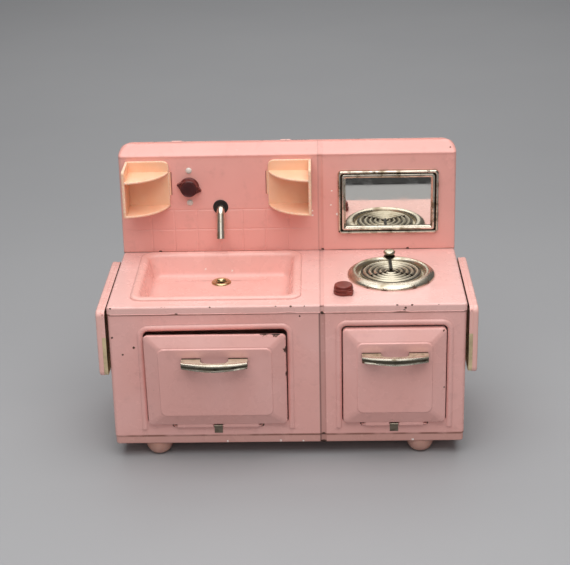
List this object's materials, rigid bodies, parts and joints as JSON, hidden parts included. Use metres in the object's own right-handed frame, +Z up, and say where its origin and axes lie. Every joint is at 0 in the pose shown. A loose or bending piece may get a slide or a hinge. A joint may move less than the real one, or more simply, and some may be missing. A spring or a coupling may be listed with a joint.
{
  "type": "toy kitchen",
  "caption": "Toy kitchen of folded pink enamelled tin: a sink with tap and spout, a stove ring, drop-down doors, corner shelves, a mirror and drop leaves.",
  "frame": {"origin": "on the floor, at the centre of the whole kitchen's box seen from above", "axes": "+X to the right seen from the front, the doors face -Y, +Z up"},
  "size_m": [0.3612, 0.2172, 0.2745],
  "materials": {
    "pink_enamel": "gloss enamel on tin plate",
    "back_paint": "satin enamel on tin plate",
    "shelf_plastic": "semi-gloss moulded plastic",
    "knob_plastic": "gloss moulded plastic",
    "foot_plastic": "satin moulded plastic",
    "nickel_plate": "worn bright plating",
    "mirror_glass": "polished",
    "steel_wire": "dull tinned steel",
    "white_rivet": "gloss",
    "brass_trim": "dull",
    "black_rubber": "matt",
    "tap_casting": "matt"
  },
  "bodies": {
    "cabinet": {"cabinet_shell": "pink_enamel", "base_tray": "pink_enamel", "worktop": "pink_enamel", "splashback": "pink_enamel", "sink_basin": "pink_enamel", "rear_panel": "back_paint", "partition": "back_paint", "water_tank": "back_paint", "left_shelf": "shelf_plastic", "right_shelf": "shelf_plastic", "front_left_foot": "foot_plastic", "front_right_foot": "foot_plastic", "rear_left_foot": "foot_plastic", "rear_right_foot": "foot_plastic", "burner_ring": "nickel_plate", "burner_plate": "nickel_plate", "mirror_frame": "nickel_plate", "spout_tube": "nickel_plate", "mirror_plate": "mirror_glass", "sink_door_hinge_wire": "steel_wire", "oven_door_hinge_wire": "steel_wire", "sink_door_hinge_clip": "steel_wire", "oven_door_hinge_clip": "steel_wire", "left_leaf_wire": "steel_wire", "right_leaf_wire": "steel_wire", "left_leaf_brackets": "steel_wire", "right_leaf_brackets": "steel_wire", "foot_rivets": "steel_wire", "tap_rivets": "white_rivet", "drain_eyelet": "brass_trim", "tank_nipple": "brass_trim", "spout_grommet": "black_rubber", "feed_gasket": "black_rubber", "tap_body": "tap_casting"},
    "sink_door": {"sink_door": "pink_enamel", "sink_door_handle": "nickel_plate"},
    "oven_door": {"oven_door": "pink_enamel", "oven_door_handle": "nickel_plate"},
    "left_leaf": {"left_leaf": "pink_enamel"},
    "right_leaf": {"right_leaf": "pink_enamel"},
    "tap_knob": {"tap_knob": "knob_plastic", "tap_spindle": "steel_wire"},
    "stove_knob": {"stove_knob": "knob_plastic", "stove_spindle": "steel_wire", "stove_clip": "steel_wire"}
  },
  "joints": [
    {"name": "sink_door_hinge", "type": "hinge", "parent": "cabinet", "child": "sink_door", "pos_m": [-0.06825, -0.07962, 0.0355], "axis": [1, 0, 0], "range_deg": [-4.5, 85.5]},
    {"name": "oven_door_hinge", "type": "hinge", "parent": "cabinet", "child": "oven_door", "pos_m": [0.10175, -0.07962, 0.0355], "axis": [1, 0, 0], "range_deg": [0, 90]},
    {"name": "left_leaf_hinge", "type": "hinge", "parent": "cabinet", "child": "left_leaf", "pos_m": [-0.1738, -0.00992, 0.1532], "axis": [0, 1, 0], "range_deg": [0, 90]},
    {"name": "right_leaf_hinge", "type": "hinge", "parent": "cabinet", "child": "right_leaf", "pos_m": [0.1738, -0.00992, 0.1532], "axis": [0, -1, 0], "range_deg": [0, 90]},
    {"name": "tap_turn", "type": "hinge", "parent": "cabinet", "child": "tap_knob", "pos_m": [-0.09925, 0.06808, 0.2305], "axis": [0, -1, 0], "range_deg": [-74, 16]},
    {"name": "stove_turn", "type": "hinge", "parent": "cabinet", "child": "stove_knob", "pos_m": [0.0543, -0.04792, 0.16], "axis": [0, 0, 1], "continuous": true}
  ]
}
